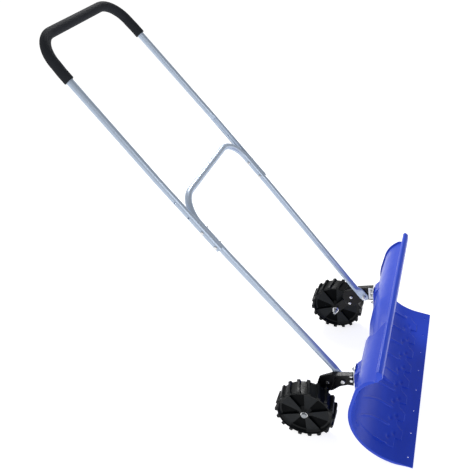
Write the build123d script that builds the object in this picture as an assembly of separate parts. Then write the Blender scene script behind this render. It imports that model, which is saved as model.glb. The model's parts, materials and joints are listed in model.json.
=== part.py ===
from build123d import *
import os
from math import atan2, cos, degrees, radians, sin, sqrt

# A wheeled snow pusher: a curled plastic blade on two steel side brackets, two lugged
# plastic wheels behind it, and a tall handle made of two nested U-shaped tubes.
#
# Modelling frame, in mm: X across the blade, Y backwards from the blade's cutting edge,
# Z up from the ground.  A pair (y, z) is a point of a side view.  Every piece is moved
# forward by half of the overall depth when it is written, which puts the origin on the
# ground under the middle of the whole object.  Seen by the person who pushes, +X is left.

# ---------------------------------------------------------------- blade
BLADE_WIDTH = 750.0
SHEET = 4.5                    # wall of the moulded blade
CURL = (10.0, 182.0)           # centre of the curled back, (y, z)
CURL_RADIUS = 175.0            # outside of the curled back
CURL_TOP_ANGLE = 15.7          # the curl ends here and runs on straight to the shoulder
SHOULDER = (73.0, 251.6)       # centre of the tighter bend above the curl
SHOULDER_RADIUS = 95.5
SHOULDER_TOP_ANGLE = 60.0      # the roof runs on straight from here to the lip
END_FLANGE_HEIGHT = 5.5        # the end flanges stand this far out of the curl
END_FLANGE_WIDTH = 5.0
EDGE_LAND = 4.0                # flat foot under the cutting edge
EDGE_THICKNESS = 4.5
STRIP_ANGLE = 15.4             # rise of the flat strip behind the cutting edge
LIP_FRONT = 84.0               # the lip is a channel, open below, with a sloping front
LIP_BACK = 102.0
LIP_CREST = 96.0
LIP_TOP = 381.0
LIP_SKIRT = 352.0
LIP_END_SKIRT = 361.0          # the lip is filled at both ends, down to here
VALLEY_HALF_WIDTH = 80.0       # the middle of the back is pressed in
VALLEY_DEPTH = 15.0
VALLEY_WALL = 5.0
RIB_PITCH = 80.0               # ribs on the snow side of the curl
RIB_HEIGHT = 3.5
RIB_WIDTH = 6.0
RIBS_PER_SIDE = 4
RIB_LOW_ANGLE = -58.0
EDGE_HOLE_COUNT = 8            # holes for a wear strip
EDGE_HOLE_SETBACK = 18.6
EDGE_HOLE_SPAN = 681.1         # first hole to last hole
EDGE_HOLE_RADIUS = 3.0
PAD_X = (180.0, 244.0)         # the flat pads that carry the brackets
PAD_BACK = 191.0
PAD_BOTTOM = 148.0
PAD_TOP = 240.0
PAD_SLOPE_END = (165.0, 268.0)

# ---------------------------------------------------------------- side brackets
ARM_INNER_X = 225.0            # inner face of the black side arm
ARM_THICKNESS = 4.0
ARM_FRONT = 197.0
ARM_FLANGE_REACH = 14.0
BLADE_PLATE_THICKNESS = 3.0
BLADE_PLATE_Z = (160.0, 236.0)
BLADE_PLATE_WEB_Z = (178.0, 226.0)
BLADE_PLATE_WIDTH = 35.0
BLADE_PLATE_REACH = 23.0
BLADE_BOLT_X = 205.0
BLADE_BOLT_Z = (175.0, 221.0)
PLATE_BOLTS = ((203.0, 193.0), (203.0, 213.0))
PIVOT = (230.5, 185.5)         # bolt that carries the foot of the handle
WHEEL_ARM_BOLTS = ((280.0, 178.0), (286.0, 150.0))
WHEEL_ARM_THICKNESS = 5.0
WHEEL_ARM_JOGGLE = 11.0        # the wheel arm steps outwards before the axle
WHEEL_ARM_WIDTH = 31.0
STRAP_TOP = (298.0, 146.0)     # where the wheel arm narrows to a strap

# ---------------------------------------------------------------- wheels
WHEEL_RADIUS = 99.0
WHEEL_WIDTH = 59.2
WHEEL_CENTRE_X = 282.0
WHEEL_CENTRE_Y = 346.5
DRUM_RADIUS = 91.0
RIM_RADIUS = 86.5
RIM_INSET = 4.3
DISH_DEPTH = 7.0
HUB_RADIUS = 17.0
WHEEL_WALL = 3.0
LUG_COUNT = 18
LUG_WIDTH = 9.0
LUG_SLANT = 14.0               # the lugs lean across the tread
SECTOR_RIBS = 10
AXLE_RADIUS = 6.0
RUNNING_CLEARANCE = 0.05
END_PLAY = 0.4

# ---------------------------------------------------------------- handle
TUBE_RADIUS = 11.0
TUBE_WALL = 1.2
HANDLE_ANGLE = 55.3            # rise of the handle above the ground
# Distances below are measured up the handle from the pivot bolt.
LOWER_FOOT_X = 214.0
LOWER_LEG_X = 231.0
LOWER_SPLAY_END = 558.0
LOWER_TOP = 776.6
NEST_OFFSET = 10.0             # the upper legs sit this far outside the lower legs
UPPER_END = 596.0
UPPER_TAPER_START = 875.0
UPPER_TOP_X = 228.5
UPPER_TOP = 1375.0
NEST_END = 863.0
NEST_CLEARANCE = 0.2
CORNER_RADIUS = 85.0
KINK_RADIUS = 600.0
PADDLE_WIDTH = 32.0
PADDLE_THICKNESS = 6.0
PADDLE_END = 24.0
ROUND_START = 54.0
HANDLE_HOLES = (610.0, 670.0, 730.0, 790.0)   # the first two carry the bolts
GRIP_END = 1236.0
GRIP_RADIUS = 16.0

# ---------------------------------------------------------------- fasteners
BOLT_CLEARANCE = 0.2           # hole radius over bolt radius
CUTTER_LENGTH = 60.0           # longer than anything that it makes a hole in
M6 = dict(radius=3.0, flats=10.0, head=4.0, nut=5.0, washer=6.0)
M8 = dict(radius=4.0, flats=13.0, head=5.3, nut=6.5, washer=8.0)
M12 = dict(radius=6.0, flats=18.0, head=7.5, nut=10.0, washer=12.0)
WASHER_THICKNESS = 1.6
CARRIAGE_HEAD = dict(face=4.5, radius=7.0, height=3.2)
THREAD_END = 3.0               # bolt standing out of its nut

OVERALL_DEPTH = PIVOT[0] + UPPER_TOP * cos(radians(HANDLE_ANGLE)) + GRIP_RADIUS
MOVE_TO_ORIGIN = Location((0, -OVERALL_DEPTH / 2, 0))
HANDLE_PLANE = Plane(
    origin=(0, *PIVOT),
    x_dir=(1, 0, 0),
    z_dir=(0, -sin(radians(HANDLE_ANGLE)), cos(radians(HANDLE_ANGLE))),
)


# ---------------------------------------------------------------- helpers
def polar(centre, radius, angle):
    """The point (y, z) at an angle in degrees round a centre."""
    return (centre[0] + radius * cos(radians(angle)), centre[1] + radius * sin(radians(angle)))


def crossing(start, angle, centre, radius):
    """Where a line from start at an angle leaves a circle."""
    dy, dz = cos(radians(angle)), sin(radians(angle))
    oy, oz = start[0] - centre[0], start[1] - centre[1]
    along = oy * dy + oz * dz
    reach = -along + sqrt(along * along - (oy * oy + oz * oz - radius * radius))
    return (start[0] + reach * dy, start[1] + reach * dz)


def side_plate(outline, x_from, x_to):
    """A flat plate parallel to the YZ plane with the given (y, z) outline."""
    face = make_face(Polyline(*outline, close=True))
    return extrude(Plane.YZ.offset(x_from) * face, x_to - x_from)


def rod_x(point, x_from, x_to, radius):
    """A round rod along X at a (y, z) point."""
    face = Pos(*point) * Circle(radius)
    return extrude(Plane.YZ.offset(x_from) * face, x_to - x_from)


def hexagon_x(point, x_from, x_to, flats):
    """A hexagonal block along X, as of a bolt head or a nut."""
    face = Pos(*point) * RegularPolygon(flats / 2, 6, major_radius=False)
    return extrude(Plane.YZ.offset(x_from) * face, x_to - x_from)


def hex_bolt_x(point, x_seat, x_end, size):
    """A hexagon bolt along X: its head sits outside x_seat and its shank runs to x_end."""
    head = hexagon_x(point, x_seat, x_seat + size["head"], size["flats"])
    return head + rod_x(point, x_end, x_seat, size["radius"])


def ring_x(point, x_from, x_to, outer, inner):
    """A washer or a spacer along X."""
    return rod_x(point, x_from, x_to, outer) - rod_x(point, x_from, x_to, inner)


def nut_x(point, x_from, x_to, size):
    """A hexagon nut along X."""
    block = hexagon_x(point, x_from, x_to, size["flats"])
    return block - rod_x(point, x_from, x_to, size["radius"])


def tan_degrees(angle):
    return sin(radians(angle)) / cos(radians(angle))


def both_sides(piece):
    """A piece of the left side (+X) and its mirror image."""
    return [piece, mirror(piece, Plane.YZ)]


# ---------------------------------------------------------------- blade
def lip_section(roof_out, roof_in, is_open):
    """Corners of the lip from the back of the roof round to its snow side."""
    wall = SHEET / cos(radians(45))
    crest = LIP_TOP - LIP_CREST
    drop = LIP_BACK - LIP_CREST
    inner_back = LIP_BACK - SHEET
    inner_front = LIP_FRONT + SHEET
    corners = [
        (LIP_BACK, roof_out),
        (LIP_BACK, LIP_TOP - drop),
        (LIP_CREST, LIP_TOP),
        (LIP_FRONT, LIP_FRONT + crest),
    ]
    if is_open:
        corners += [
            (LIP_FRONT, LIP_SKIRT),
            (inner_front, LIP_SKIRT),
            (inner_front, inner_front + crest - wall),
            (LIP_CREST, LIP_TOP - wall),
            (inner_back, LIP_TOP - wall - inner_back + LIP_CREST),
        ]
    else:
        corners.append((LIP_FRONT, LIP_END_SKIRT))
    return corners + [(inner_back, roof_in)]


def blade_section(rise=0.0, outer_press=0.0, inner_press=0.0, is_open=True):
    """A cross-section of the blade: strip, curl, shoulder, roof and lip.

    rise thickens the back of the sheet; the presses move the middle of the curl forwards.
    """
    strip_low = (EDGE_LAND, 0.0)
    strip_high = (0.0, EDGE_THICKNESS)
    outer = CURL_RADIUS + rise
    inner = CURL_RADIUS - SHEET
    shoulder_out = SHOULDER_RADIUS + rise
    shoulder_in = SHOULDER_RADIUS - SHEET
    low_out = crossing(strip_low, STRIP_ANGLE, CURL, outer)
    low_in = crossing(strip_high, STRIP_ANGLE, CURL, inner)
    low_angle = degrees(atan2(low_out[1] - CURL[1], low_out[0] - CURL[0]))
    curl_middle = (CURL_TOP_ANGLE + low_angle) / 2
    bend_middle = (CURL_TOP_ANGLE + SHOULDER_TOP_ANGLE) / 2
    curl_end_out = polar(CURL, outer, CURL_TOP_ANGLE)
    curl_end_in = polar(CURL, inner, CURL_TOP_ANGLE)
    bend_start_out = polar(SHOULDER, shoulder_out, CURL_TOP_ANGLE)
    bend_start_in = polar(SHOULDER, shoulder_in, CURL_TOP_ANGLE)
    bend_end_out = polar(SHOULDER, shoulder_out, SHOULDER_TOP_ANGLE)
    bend_end_in = polar(SHOULDER, shoulder_in, SHOULDER_TOP_ANGLE)
    roof_slope = 1 / tan_degrees(SHOULDER_TOP_ANGLE)
    roof_out = bend_end_out[1] + (bend_end_out[0] - LIP_BACK) * roof_slope
    roof_in = bend_end_in[1] + (bend_end_in[0] - LIP_BACK + SHEET) * roof_slope
    lip = lip_section(roof_out, roof_in, is_open)
    edges = [
        Line((0, 0), strip_low),
        Line(strip_low, low_out),
        ThreePointArc(low_out, polar(CURL, outer - outer_press, curl_middle), curl_end_out),
        Line(curl_end_out, bend_start_out),
        ThreePointArc(bend_start_out, polar(SHOULDER, shoulder_out, bend_middle), bend_end_out),
        Line(bend_end_out, lip[0]),
        Polyline(*lip),
        Line(lip[-1], bend_end_in),
        ThreePointArc(bend_end_in, polar(SHOULDER, shoulder_in, bend_middle), bend_start_in),
        Line(bend_start_in, curl_end_in),
        ThreePointArc(curl_end_in, polar(CURL, inner - inner_press, curl_middle), low_in),
        Line(low_in, strip_high),
        Line(strip_high, (0, 0)),
    ]
    return make_face(edges)


def blade_band(x_from, x_to, **section):
    """A stretch of blade of one cross-section."""
    return extrude(Plane.YZ.offset(x_from) * blade_section(**section), x_to - x_from)


def mirrored_bands(x_from, x_to, **section):
    return blade_band(x_from, x_to, **section) + blade_band(-x_to, -x_from, **section)


def curl_rib(rib_x):
    """A rib that follows the snow side of the curl."""
    crest = CURL_RADIUS - SHEET - RIB_HEIGHT
    buried = CURL_RADIUS - SHEET / 2
    middle_angle = (RIB_LOW_ANGLE + CURL_TOP_ANGLE) / 2
    low, middle, high = (
        (polar(CURL, crest, angle), polar(CURL, buried, angle))
        for angle in (RIB_LOW_ANGLE, middle_angle, CURL_TOP_ANGLE)
    )
    edges = [
        Line(low[0], low[1]),
        ThreePointArc(low[1], middle[1], high[1]),
        Line(high[1], high[0]),
        ThreePointArc(high[0], middle[0], low[0]),
    ]
    return extrude(Plane.YZ.offset(rib_x - RIB_WIDTH / 2) * make_face(edges), RIB_WIDTH)


def bracket_pad():
    """The hollow flat pad behind the left end of the blade, and the pocket in it."""
    x_low, x_high = PAD_X
    outline = [
        (PAD_BACK, PAD_BOTTOM),
        (PAD_BACK, PAD_TOP),
        PAD_SLOPE_END,
        (CURL[0], PAD_SLOPE_END[1]),
        (CURL[0], PAD_BOTTOM),
    ]
    inner = [
        (PAD_BACK - SHEET, PAD_BOTTOM + SHEET),
        (PAD_BACK - SHEET, PAD_TOP - SHEET / 2),
        (PAD_SLOPE_END[0] - SHEET, PAD_SLOPE_END[1] - SHEET),
        (CURL[0], PAD_SLOPE_END[1] - SHEET),
        (CURL[0], PAD_BOTTOM + SHEET),
    ]
    neck = [
        CURL,
        polar(CURL, CURL_RADIUS - SHEET, CURL_TOP_ANGLE),
        polar(SHOULDER, SHOULDER_RADIUS - SHEET, CURL_TOP_ANGLE),
        SHOULDER,
    ]
    pad = side_plate(outline, x_low, x_high) - side_plate(neck, x_low, x_high)
    pad -= rod_x(CURL, x_low, x_high, CURL_RADIUS - SHEET)
    pad -= rod_x(SHOULDER, x_low, x_high, SHOULDER_RADIUS - SHEET)
    pocket = side_plate(inner, x_low + SHEET, x_high - SHEET)
    return pad, pocket


def make_blade():
    half = BLADE_WIDTH / 2
    wall_end = VALLEY_HALF_WIDTH + VALLEY_WALL
    flange_start = half - END_FLANGE_WIDTH
    blade = blade_band(
        -VALLEY_HALF_WIDTH, VALLEY_HALF_WIDTH, outer_press=VALLEY_DEPTH, inner_press=VALLEY_DEPTH
    )
    blade += mirrored_bands(VALLEY_HALF_WIDTH, wall_end, inner_press=VALLEY_DEPTH)
    blade += mirrored_bands(wall_end, flange_start)
    blade += mirrored_bands(flange_start, half, rise=END_FLANGE_HEIGHT, is_open=False)
    for number in range(2, RIBS_PER_SIDE + 1):
        for rib in both_sides(curl_rib(number * RIB_PITCH)):
            blade += rib
    pad, pocket = bracket_pad()
    for piece, hollow in zip(both_sides(pad), both_sides(pocket)):
        blade = blade + piece - hollow
    for bolt_z in BLADE_BOLT_Z:
        for side in (-1, 1):
            bolt_hole = Cylinder(M6["radius"] + BOLT_CLEARANCE, CUTTER_LENGTH)
            blade -= Pos(side * BLADE_BOLT_X, PAD_BACK, bolt_z) * Rot(90, 0, 0) * bolt_hole
    hole_pitch = EDGE_HOLE_SPAN / (EDGE_HOLE_COUNT - 1)
    for number in range(EDGE_HOLE_COUNT):
        hole_x = number * hole_pitch - EDGE_HOLE_SPAN / 2
        blade -= Pos(hole_x, EDGE_HOLE_SETBACK, 0) * Cylinder(EDGE_HOLE_RADIUS, CUTTER_LENGTH)
    return blade


# ---------------------------------------------------------------- side brackets
def arm_top(y):
    """Height of the side arm's sloping top edge."""
    return 228.0 - 0.15 * (y - ARM_FRONT)


def make_blade_plate():
    """The zinc angle that joins the blade's pad to the side arm."""
    x_web = ARM_INNER_X - BLADE_PLATE_THICKNESS
    z_low, z_high = BLADE_PLATE_Z
    flange_box = [
        (PAD_BACK, z_low),
        (PAD_BACK + BLADE_PLATE_THICKNESS, z_low),
        (PAD_BACK + BLADE_PLATE_THICKNESS, z_high),
        (PAD_BACK, z_high),
    ]
    web_low, web_high = BLADE_PLATE_WEB_Z
    web_box = [
        (PAD_BACK, web_low),
        (PAD_BACK + BLADE_PLATE_REACH, web_low),
        (PAD_BACK + BLADE_PLATE_REACH, web_high),
        (PAD_BACK, web_high),
    ]
    plate = side_plate(flange_box, ARM_INNER_X - BLADE_PLATE_WIDTH, ARM_INNER_X)
    plate += side_plate(web_box, x_web, ARM_INNER_X)
    for bolt in PLATE_BOLTS:
        plate -= rod_x(bolt, x_web - 1, ARM_INNER_X + 1, M6["radius"] + BOLT_CLEARANCE)
    for bolt_z in BLADE_BOLT_Z:
        bolt_hole = Cylinder(M6["radius"] + BOLT_CLEARANCE, CUTTER_LENGTH)
        plate -= Pos(BLADE_BOLT_X, PAD_BACK, bolt_z) * Rot(90, 0, 0) * bolt_hole
    return plate


def make_side_arm():
    """The black arm that runs back from the blade, with a flange along its top."""
    arm_outer_x = ARM_INNER_X + ARM_THICKNESS
    flange_end = 255.0
    outline = [
        (ARM_FRONT, 171.0),
        (216.0, 171.5),
        (242.0, 161.0),
        (266.0, 140.0),
        (293.0, 132.0),
        (306.0, 160.0),
        (302.0, 198.0),
        (262.0, arm_top(262.0)),
        (ARM_FRONT, arm_top(ARM_FRONT)),
    ]
    flange = [
        (ARM_FRONT, arm_top(ARM_FRONT) - ARM_THICKNESS),
        (flange_end, arm_top(flange_end) - ARM_THICKNESS),
        (flange_end, arm_top(flange_end)),
        (ARM_FRONT, arm_top(ARM_FRONT)),
    ]
    arm = side_plate(outline, ARM_INNER_X, arm_outer_x)
    arm += side_plate(flange, ARM_INNER_X, arm_outer_x + ARM_FLANGE_REACH)
    for bolt in PLATE_BOLTS + WHEEL_ARM_BOLTS:
        arm -= rod_x(bolt, ARM_INNER_X - 1, arm_outer_x + 1, M6["radius"] + BOLT_CLEARANCE)
    arm -= rod_x(PIVOT, ARM_INNER_X - 1, arm_outer_x + 1, M8["radius"] + RUNNING_CLEARANCE)
    return arm


def make_wheel_arm():
    """The black plate that steps outwards and drops to the axle."""
    plate_x = ARM_INNER_X + ARM_THICKNESS
    strap_x = plate_x + WHEEL_ARM_JOGGLE
    axle = (WHEEL_CENTRE_Y, WHEEL_RADIUS)
    run_y, run_z = axle[0] - STRAP_TOP[0], axle[1] - STRAP_TOP[1]
    run = sqrt(run_y * run_y + run_z * run_z)
    side_y, side_z = -run_z / run * WHEEL_ARM_WIDTH / 2, run_y / run * WHEEL_ARM_WIDTH / 2
    strap = [
        (STRAP_TOP[0] + side_y, STRAP_TOP[1] + side_z),
        (axle[0] + side_y, axle[1] + side_z),
        (axle[0] - side_y, axle[1] - side_z),
        (STRAP_TOP[0] - side_y, STRAP_TOP[1] - side_z),
    ]
    head = [
        (258.0, 219.0),
        (305.0, 199.0),
        (314.0, 172.0),
        strap[0],
        strap[3],
        (271.0, 147.0),
        (258.0, 185.0),
    ]
    # The bent strip, seen edge on, lies in a plane that holds X and the strap's direction.
    bend_plane = Plane(
        origin=(0, *STRAP_TOP), x_dir=(0, run_y / run, run_z / run), z_dir=(0, run_z, -run_y)
    )
    bend_start, bend_end, reach = -4.0, 14.0, 130.0
    edge_view = [
        (-reach, plate_x),
        (bend_start, plate_x),
        (bend_end, strap_x),
        (reach, strap_x),
        (reach, strap_x + WHEEL_ARM_THICKNESS),
        (bend_end - 1.0, strap_x + WHEEL_ARM_THICKNESS),
        (bend_start - 1.0, plate_x + WHEEL_ARM_THICKNESS),
        (-reach, plate_x + WHEEL_ARM_THICKNESS),
    ]
    x_sign = 1 if bend_plane.y_dir.X > 0 else -1
    edge_face = make_face(Polyline(*[(s, x_sign * x) for s, x in edge_view], close=True))
    bent = extrude(bend_plane * edge_face, 90, both=True)
    x_far = strap_x + 2 * WHEEL_ARM_THICKNESS
    shape = side_plate(head, plate_x - 1, x_far) + side_plate(strap, plate_x - 1, x_far)
    shape += rod_x(axle, plate_x - 1, x_far, WHEEL_ARM_WIDTH / 2)
    arm = bent & shape
    for bolt in WHEEL_ARM_BOLTS:
        arm -= rod_x(bolt, plate_x - 1, x_far, M6["radius"] + BOLT_CLEARANCE)
    return arm - rod_x(axle, plate_x - 1, x_far, AXLE_RADIUS + BOLT_CLEARANCE)


# ---------------------------------------------------------------- wheels
def make_wheel():
    """The hollow moulded wheel on the left side, with slanted lugs round its tread."""
    half = WHEEL_WIDTH / 2
    rim_u = half - RIM_INSET
    dish_u = rim_u - DISH_DEPTH
    bore = AXLE_RADIUS + RUNNING_CLEARANCE
    root = HUB_RADIUS + 2.0
    right_half = [
        (half, bore),
        (half, HUB_RADIUS),
        (dish_u, root),
        (rim_u - 2.0, RIM_RADIUS - 2.0),
        (rim_u, RIM_RADIUS),
        (rim_u, DRUM_RADIUS - 2.0),
        (rim_u - 2.0, DRUM_RADIUS),
    ]
    outline = right_half + [(-u, r) for u, r in reversed(right_half)]
    void = [
        (dish_u - WHEEL_WALL, root + 1.0),
        (rim_u - 2.0 - WHEEL_WALL, DRUM_RADIUS - WHEEL_WALL),
        (-rim_u + 2.0 + WHEEL_WALL, DRUM_RADIUS - WHEEL_WALL),
        (-dish_u + WHEEL_WALL, root + 1.0),
    ]
    wheel = revolve(make_face(Polyline(*outline, close=True)), Axis.X)
    wheel -= revolve(make_face(Polyline(*void, close=True)), Axis.X)
    lug_root = DRUM_RADIUS - 2.0
    lug = Box(2 * WHEEL_WIDTH, LUG_WIDTH, WHEEL_RADIUS - lug_root + 1.0)
    lug_radius = (WHEEL_RADIUS + 1.0 + lug_root) / 2
    lugs = []
    for number in range(LUG_COUNT):
        turn = Rot(number * 360.0 / LUG_COUNT, 0, 0)
        lugs.append(turn * Pos(0, 0, lug_radius) * Rot(0, 0, -LUG_SLANT) * lug)
    tread_limit = rod_x((0, 0), -half, half, WHEEL_RADIUS)
    wheel = wheel + (Compound(lugs) & tread_limit)
    for number in range(SECTOR_RIBS):
        for face in (-1, 1):
            rib_length = RIM_RADIUS - HUB_RADIUS - 4.0
            rib = Box(3.0, 3.0, rib_length)
            place = Pos(face * (dish_u + 2.5), 0, HUB_RADIUS + 2.0 + rib_length / 2)
            tilt = Rot(0, face * degrees(atan2(DISH_DEPTH - 3.0, rib_length)), 0)
            wheel += Rot(number * 360.0 / SECTOR_RIBS, 0, 0) * place * tilt * rib
    return Pos(WHEEL_CENTRE_X, WHEEL_CENTRE_Y, WHEEL_RADIUS) * wheel


# ---------------------------------------------------------------- handle
def leg_path(points, corner_radii):
    """A smooth centreline in the handle's plane through (x, distance) points."""
    return HANDLE_PLANE * FilletPolyline(*points, radius=corner_radii)


def tube_along(path, radius):
    """A solid round bar along a path."""
    section = Plane(origin=path @ 0, z_dir=path % 0) * Circle(radius)
    return sweep(section, path)


def leg_bar(x, start, end, radius):
    """A straight round bar in the handle's plane, parallel to the legs."""
    bar = Cylinder(radius, end - start, align=(Align.CENTER, Align.CENTER, Align.MIN))
    return HANDLE_PLANE * Pos(x, start, 0) * Rot(-90, 0, 0) * bar


def handle_point(distance):
    """The (y, z) point of the handle's plane at a distance up from the pivot."""
    return polar(PIVOT, distance, HANDLE_ANGLE)


def lower_path():
    half = [(LOWER_FOOT_X, ROUND_START), (LOWER_LEG_X, LOWER_SPLAY_END), (LOWER_LEG_X, LOWER_TOP)]
    points = half + [(-x, t) for x, t in reversed(half)]
    return leg_path(points, [KINK_RADIUS, CORNER_RADIUS, CORNER_RADIUS, KINK_RADIUS])


def upper_path(first, first_x):
    """Centreline of the upper tube from a distance up one leg, round to the other leg."""
    leg_x = LOWER_LEG_X + NEST_OFFSET
    half = [(first_x, first), (leg_x, UPPER_TAPER_START), (UPPER_TOP_X, UPPER_TOP)]
    points = half + [(-x, t) for x, t in reversed(half)]
    return leg_path(points, [KINK_RADIUS, CORNER_RADIUS, CORNER_RADIUS, KINK_RADIUS])


def grip_path():
    leg_x = LOWER_LEG_X + NEST_OFFSET
    share = (GRIP_END - UPPER_TAPER_START) / (UPPER_TOP - UPPER_TAPER_START)
    start_x = leg_x + (UPPER_TOP_X - leg_x) * share
    half = [(start_x, GRIP_END), (UPPER_TOP_X, UPPER_TOP)]
    points = half + [(-x, t) for x, t in reversed(half)]
    return leg_path(points, [CORNER_RADIUS, CORNER_RADIUS])


def paddle(tube_start):
    """The flattened foot of the left leg, which the pivot bolt goes through."""
    middle_x = ARM_INNER_X - PADDLE_THICKNESS / 2
    across = HANDLE_PLANE.rotated((-90, 0, 0))
    flat = rod_x(PIVOT, middle_x - PADDLE_THICKNESS / 2, ARM_INNER_X, PADDLE_WIDTH / 2)
    blade_box = Box(PADDLE_THICKNESS, PADDLE_END, PADDLE_WIDTH)
    flat += HANDLE_PLANE * Pos(middle_x, PADDLE_END / 2, 0) * blade_box
    low = across.offset(PADDLE_END) * Pos(middle_x, 0) * Rectangle(PADDLE_THICKNESS, PADDLE_WIDTH)
    return flat + loft([low, tube_start * Circle(TUBE_RADIUS)])


def make_lower_frame():
    path = lower_path()
    frame = tube_along(path, TUBE_RADIUS) - tube_along(path, TUBE_RADIUS - TUBE_WALL)
    for foot in both_sides(paddle(Plane(origin=path @ 0, z_dir=path % 0))):
        frame += foot
    hole = M6["radius"] + BOLT_CLEARANCE
    for distance in HANDLE_HOLES[:2]:
        frame -= rod_x(handle_point(distance), -300, 300, hole)
    return frame - rod_x(PIVOT, -300, 300, M8["radius"] + RUNNING_CLEARANCE)


def make_upper_handle():
    """The upper tube, whose legs are pressed in to nest round the lower legs."""
    path = upper_path(UPPER_END, LOWER_LEG_X + NEST_OFFSET)
    outside = tube_along(path, TUBE_RADIUS)
    inside = tube_along(path, TUBE_RADIUS - TUBE_WALL)
    groove_radius = TUBE_RADIUS + NEST_CLEARANCE
    for side in (-1, 1):
        leg_x = side * LOWER_LEG_X
        outside -= leg_bar(leg_x, UPPER_END - 10, NEST_END, groove_radius)
        inside -= leg_bar(leg_x, UPPER_END - 10, NEST_END + TUBE_WALL, groove_radius + TUBE_WALL)
    handle = outside - inside
    hole = M6["radius"] + BOLT_CLEARANCE
    for distance in HANDLE_HOLES:
        handle -= rod_x(handle_point(distance), -300, 300, hole)
    return handle


def make_grip():
    path = grip_path()
    return tube_along(path, GRIP_RADIUS) - tube_along(path, TUBE_RADIUS)


# ---------------------------------------------------------------- fasteners
def blade_fasteners():
    """Carriage bolts through the left pad, with their washers and nuts."""
    size = M6
    seat = PAD_BACK - SHEET
    back = PAD_BACK + BLADE_PLATE_THICKNESS
    dome = CARRIAGE_HEAD
    bolts, washers, nuts = [], [], []
    for bolt_z in BLADE_BOLT_Z:
        place = Location((BLADE_BOLT_X, 0, bolt_z), (-90, 0, 0))
        nut_start = back + WASHER_THICKNESS
        length = nut_start + size["nut"] + THREAD_END - seat
        at_min = (Align.CENTER, Align.CENTER, Align.MIN)
        shank = Pos(0, 0, seat) * Cylinder(size["radius"], length, align=at_min)
        head_cone = Cone(dome["face"], dome["radius"], dome["height"], align=at_min)
        head = Pos(0, 0, seat - dome["height"]) * head_cone
        bolts.append(place * (shank + head))
        disc = Cylinder(size["washer"], WASHER_THICKNESS, align=at_min)
        hole = Cylinder(size["radius"], CUTTER_LENGTH)
        washers.append(place * Pos(0, 0, back) * (disc - hole))
        block = extrude(RegularPolygon(size["flats"] / 2, 6, major_radius=False), size["nut"])
        nuts.append(place * Pos(0, 0, nut_start) * (block - hole))
    return bolts, washers, nuts


def clamp_set(points, head_x, nut_x_face, size, washer=False):
    """Bolts along X with their nuts: heads outside head_x, nuts inside nut_x_face."""
    bolts, nuts, washers = [], [], []
    for point in points:
        face = nut_x_face
        if washer:
            washers.append(
                ring_x(point, face - WASHER_THICKNESS, face, size["washer"], size["radius"])
            )
            face -= WASHER_THICKNESS
        nuts.append(nut_x(point, face - size["nut"], face, size))
        bolts.append(hex_bolt_x(point, head_x, face - size["nut"] - THREAD_END, size))
    return bolts, nuts, washers


def axle_parts():
    """The axle bolt of the left wheel with its spacer, washers and nut."""
    axle = (WHEEL_CENTRE_Y, WHEEL_RADIUS)
    strap_in = ARM_INNER_X + ARM_THICKNESS + WHEEL_ARM_JOGGLE
    strap_out = strap_in + WHEEL_ARM_THICKNESS
    hub_in = WHEEL_CENTRE_X - WHEEL_WIDTH / 2
    hub_out = WHEEL_CENTRE_X + WHEEL_WIDTH / 2
    head_x = hub_out + END_PLAY + WASHER_THICKNESS
    nut_face = strap_in - WASHER_THICKNESS
    bolt = hex_bolt_x(axle, head_x, nut_face - M12["nut"] - 4 * THREAD_END, M12)
    nut = nut_x(axle, nut_face - M12["nut"], nut_face, M12)
    lock_washer = ring_x(axle, nut_face, strap_in, M12["washer"], AXLE_RADIUS)
    outer_washer = ring_x(axle, hub_out + END_PLAY, head_x, M12["washer"], AXLE_RADIUS)
    spacer = ring_x(axle, strap_out, hub_in - END_PLAY, 10.0, AXLE_RADIUS)
    return bolt, nut, lock_washer, outer_washer, spacer


def mirrored_set(pieces):
    return [side for piece in pieces for side in both_sides(piece)]


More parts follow.
